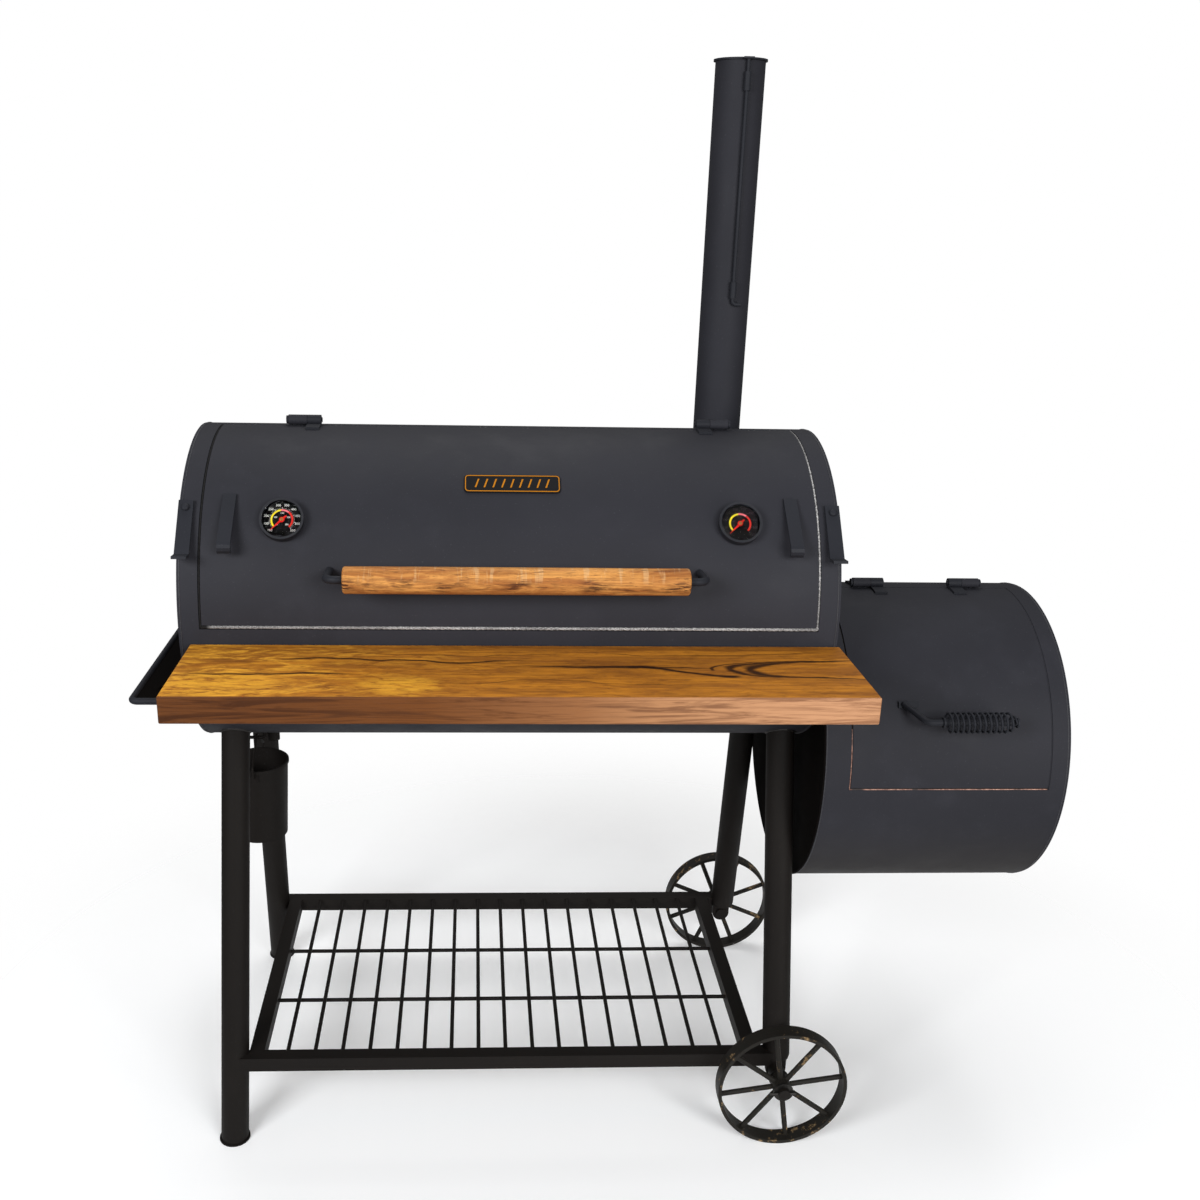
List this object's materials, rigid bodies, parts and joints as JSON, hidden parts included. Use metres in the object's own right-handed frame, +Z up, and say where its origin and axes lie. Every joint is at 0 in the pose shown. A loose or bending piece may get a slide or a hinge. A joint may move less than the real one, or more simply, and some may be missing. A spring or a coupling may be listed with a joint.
{
  "type": "offset smoker",
  "caption": "Horizontal barrel smoker on splayed legs with an offset firebox, chimney, plank shelf, rod shelf and spoked wheels.",
  "frame": {"origin": "centre of the smoker's outline in plan, on the ground", "axes": "+X towards the firebox, -Y towards the cook, +Z up"},
  "size_m": [1.474, 0.806, 1.7473],
  "materials": {
    "chamber_paint": "satin heat-proof black",
    "lid_paint": "satin heat-proof black",
    "frame_paint": "satin black",
    "wheel_paint": "worn satin black",
    "shelf_wood": "oiled",
    "grip_wood": "oiled",
    "dark_steel": "heat-darkened",
    "bare_steel": "dull",
    "gauge_case": "satin",
    "gauge_dial": "printed",
    "gauge_pointer": "gloss",
    "gauge_glass": "clear",
    "seal_rope": "woven glass fibre",
    "badge_plate": "satin with an amber edge",
    "bucket_paint": "satin black"
  },
  "bodies": {
    "frame": {"main_barrel": "chamber_paint", "barrel_end_left": "chamber_paint", "barrel_end_right": "chamber_paint", "lid_stop_frame": "dark_steel", "lid_seal": "seal_rope", "hinge_bases": "chamber_paint", "hinge_pins": "bare_steel", "latch_posts": "chamber_paint", "chimney_pipe": "chamber_paint", "cap_rod_guides": "chamber_paint", "cooking_grates": "dark_steel", "fire_grate": "dark_steel", "grate_ledges": "dark_steel", "firebox_shell": "chamber_paint", "firebox_end_left": "chamber_paint", "firebox_end_right": "chamber_paint", "door_stop_frame": "dark_steel", "damper_pivot": "dark_steel", "front_shelf": "shelf_wood", "shelf_brackets": "frame_paint", "shelf_screws": "bare_steel", "shelf_frame": "frame_paint", "hanger_plate": "frame_paint", "legs_left": "frame_paint", "legs_right": "frame_paint", "foot_plates": "frame_paint", "axle_lugs": "frame_paint", "stub_axles": "frame_paint", "axle_washers": "bare_steel", "cotter_pins": "bare_steel", "lower_rails_long": "frame_paint", "lower_rails_side": "frame_paint", "lower_shelf_rods": "frame_paint", "drain_spout": "frame_paint", "bucket_hook": "frame_paint"},
    "lid": {"lid_plate": "lid_paint", "lid_hinge_straps": "lid_paint", "handle_rod": "lid_paint", "handle_grip": "grip_wood", "thermometer_cases": "gauge_case", "thermometer_dials": "gauge_dial", "thermometer_lenses": "gauge_glass", "thermometer_probes": "bare_steel", "badge": "badge_plate", "lid_keepers": "lid_paint"},
    "firebox_door": {"firebox_door": "lid_paint", "door_hinge_straps": "lid_paint", "door_handle_rod": "lid_paint", "door_handle_coil": "bare_steel"},
    "latch_left": {"latch_left": "lid_paint"},
    "latch_right": {"latch_right": "lid_paint"},
    "chimney_cap": {"chimney_cap": "lid_paint", "cap_rod": "lid_paint"},
    "pointer_left": {"pointer_left": "gauge_pointer"},
    "pointer_right": {"pointer_right": "gauge_pointer"},
    "bail": {"bucket_bail": "frame_paint"},
    "pail": {"bucket_pail": "bucket_paint"},
    "air_damper": {"air_damper": "lid_paint"},
    "front_wheel": {"front_wheel": "wheel_paint"},
    "rear_wheel": {"rear_wheel": "wheel_paint"}
  },
  "joints": [
    {"name": "lid_hinge", "type": "hinge", "parent": "frame", "child": "lid", "pos_m": [-0.187, 0.0777, 1.18396], "axis": [-1, 0, 0], "range_deg": [0, 120]},
    {"name": "firebox_door_hinge", "type": "hinge", "parent": "frame", "child": "firebox_door", "pos_m": [0.521, 0.0777, 0.91396], "axis": [-1, 0, 0], "range_deg": [0, 195]},
    {"name": "latch_left_swing", "type": "hinge", "parent": "frame", "child": "latch_left", "pos_m": [-0.676, -0.13071, 1.08292], "axis": [0, -0.7716, 0.6361], "range_deg": [-90, 21]},
    {"name": "latch_right_swing", "type": "hinge", "parent": "frame", "child": "latch_right", "pos_m": [0.302, -0.13071, 1.08292], "axis": [0, 0.7716, -0.6361], "range_deg": [-90, 21]},
    {"name": "chimney_cap_swing", "type": "hinge", "parent": "frame", "child": "chimney_cap", "pos_m": [0.181, 0.1457, 1.744], "axis": [0, 0, -1], "range_deg": [0, 150]},
    {"name": "pointer_left_turn", "type": "hinge", "parent": "lid", "child": "pointer_left", "pos_m": [-0.532, -0.14578, 1.07048], "axis": [0, 0.8151, -0.5793], "range_deg": [0, 270], "stiffness_Nm_per_rad": 0.002},
    {"name": "pointer_right_turn", "type": "hinge", "parent": "lid", "child": "pointer_right", "pos_m": [0.158, -0.14578, 1.07048], "axis": [0, 0.8151, -0.5793], "range_deg": [0, 270], "stiffness_Nm_per_rad": 0.002},
    {"name": "bail_swing", "type": "hinge", "parent": "frame", "child": "bail", "pos_m": [-0.627, 0.073, 0.623], "axis": [1, 0, 0], "range_deg": [-25, 25]},
    {"name": "bucket_tilt", "type": "hinge", "parent": "bail", "child": "pail", "pos_m": [-0.627, 0.073, 0.57], "axis": [0, 1, 0], "range_deg": [-30, 30]},
    {"name": "air_damper_turn", "type": "hinge", "parent": "frame", "child": "air_damper", "pos_m": [0.715, 0.073, 0.55], "axis": [1, 0, 0], "range_deg": [-45, 45]},
    {"name": "front_wheel_spin", "type": "hinge", "parent": "frame", "child": "front_wheel", "pos_m": [0.282, -0.229, 0.11], "axis": [0, 1, 0], "continuous": true},
    {"name": "rear_wheel_spin", "type": "hinge", "parent": "frame", "child": "rear_wheel", "pos_m": [0.282, 0.375, 0.11], "axis": [0, 1, 0], "continuous": true}
  ]
}
